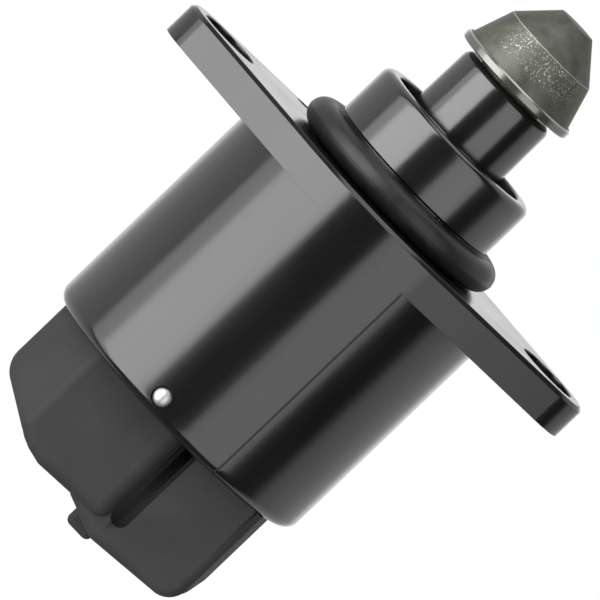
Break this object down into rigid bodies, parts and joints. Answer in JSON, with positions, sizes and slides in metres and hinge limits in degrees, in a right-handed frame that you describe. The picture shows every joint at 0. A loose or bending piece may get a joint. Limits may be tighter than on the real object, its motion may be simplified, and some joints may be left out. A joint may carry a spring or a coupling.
{
  "type": "idle air control valve",
  "caption": "Stepper idle air valve: round body with a bolted flange, sealed pilot spigot, sliding double-cone pintle and side-facing connector.",
  "frame": {"origin": "midway between the two bolt holes, on the flange's mounting face, which is also on the valve's axis", "axes": "+Z along the valve towards the pintle, +X towards a bolt hole, +Y towards the mouth of the connector"},
  "size_m": [0.0544, 0.0353, 0.0702],
  "materials": {
    "black_nylon": "moulded glass-filled nylon, low gloss",
    "cover_nylon": "fine spark texture",
    "seal_rubber": "nitrile rubber",
    "pintle_metal": "machined and hard anodised",
    "bright_steel": "ground",
    "pole_steel": "zinc plated sheet",
    "ferrite": "sintered ferrite",
    "natural_plastic": "unfilled moulding",
    "copper_wire": "enamelled copper winding",
    "bronze": "sintered bronze",
    "tin_plate": "tin plated brass"
  },
  "bodies": {
    "valve_body": {"housing": "black_nylon", "neck": "black_nylon", "o_ring": "seal_rubber", "bearing_outer_race": "bright_steel", "bearing_retainer": "pole_steel", "stator_cup_front": "pole_steel", "stator_plate_front": "pole_steel", "stator_plate_rear": "pole_steel", "stator_cup_rear": "pole_steel", "bobbin_front": "natural_plastic", "bobbin_rear": "natural_plastic", "winding_front": "copper_wire", "winding_rear": "copper_wire", "wave_washer": "bright_steel", "rear_bush": "bronze", "cover_seal": "seal_rubber", "connector_housing": "cover_nylon", "terminal_1": "tin_plate", "terminal_2": "tin_plate", "terminal_3": "tin_plate", "terminal_4": "tin_plate", "locking_pin": "bright_steel"},
    "rotor": {"rotor_magnet": "ferrite", "rotor_hub": "natural_plastic", "bearing_inner_race": "bright_steel", "bearing_balls": "bright_steel", "bearing_cage": "bronze"},
    "pintle": {"pintle": "pintle_metal", "lead_screw": "bright_steel"}
  },
  "joints": [
    {"name": "rotor_spin", "type": "hinge", "parent": "valve_body", "child": "rotor", "pos_m": [0, 0, 0], "axis": [0, 0, 1], "range_deg": [0, 2880]},
    {"name": "pintle_slide", "type": "slide", "parent": "valve_body", "child": "pintle", "axis": [0, 0, 1], "range_m": [0, 0.008]}
  ],
  "couplings": [
    {"joint": "pintle_slide", "follows": "rotor_spin", "m_per_rad": 0.00015915}
  ]
}
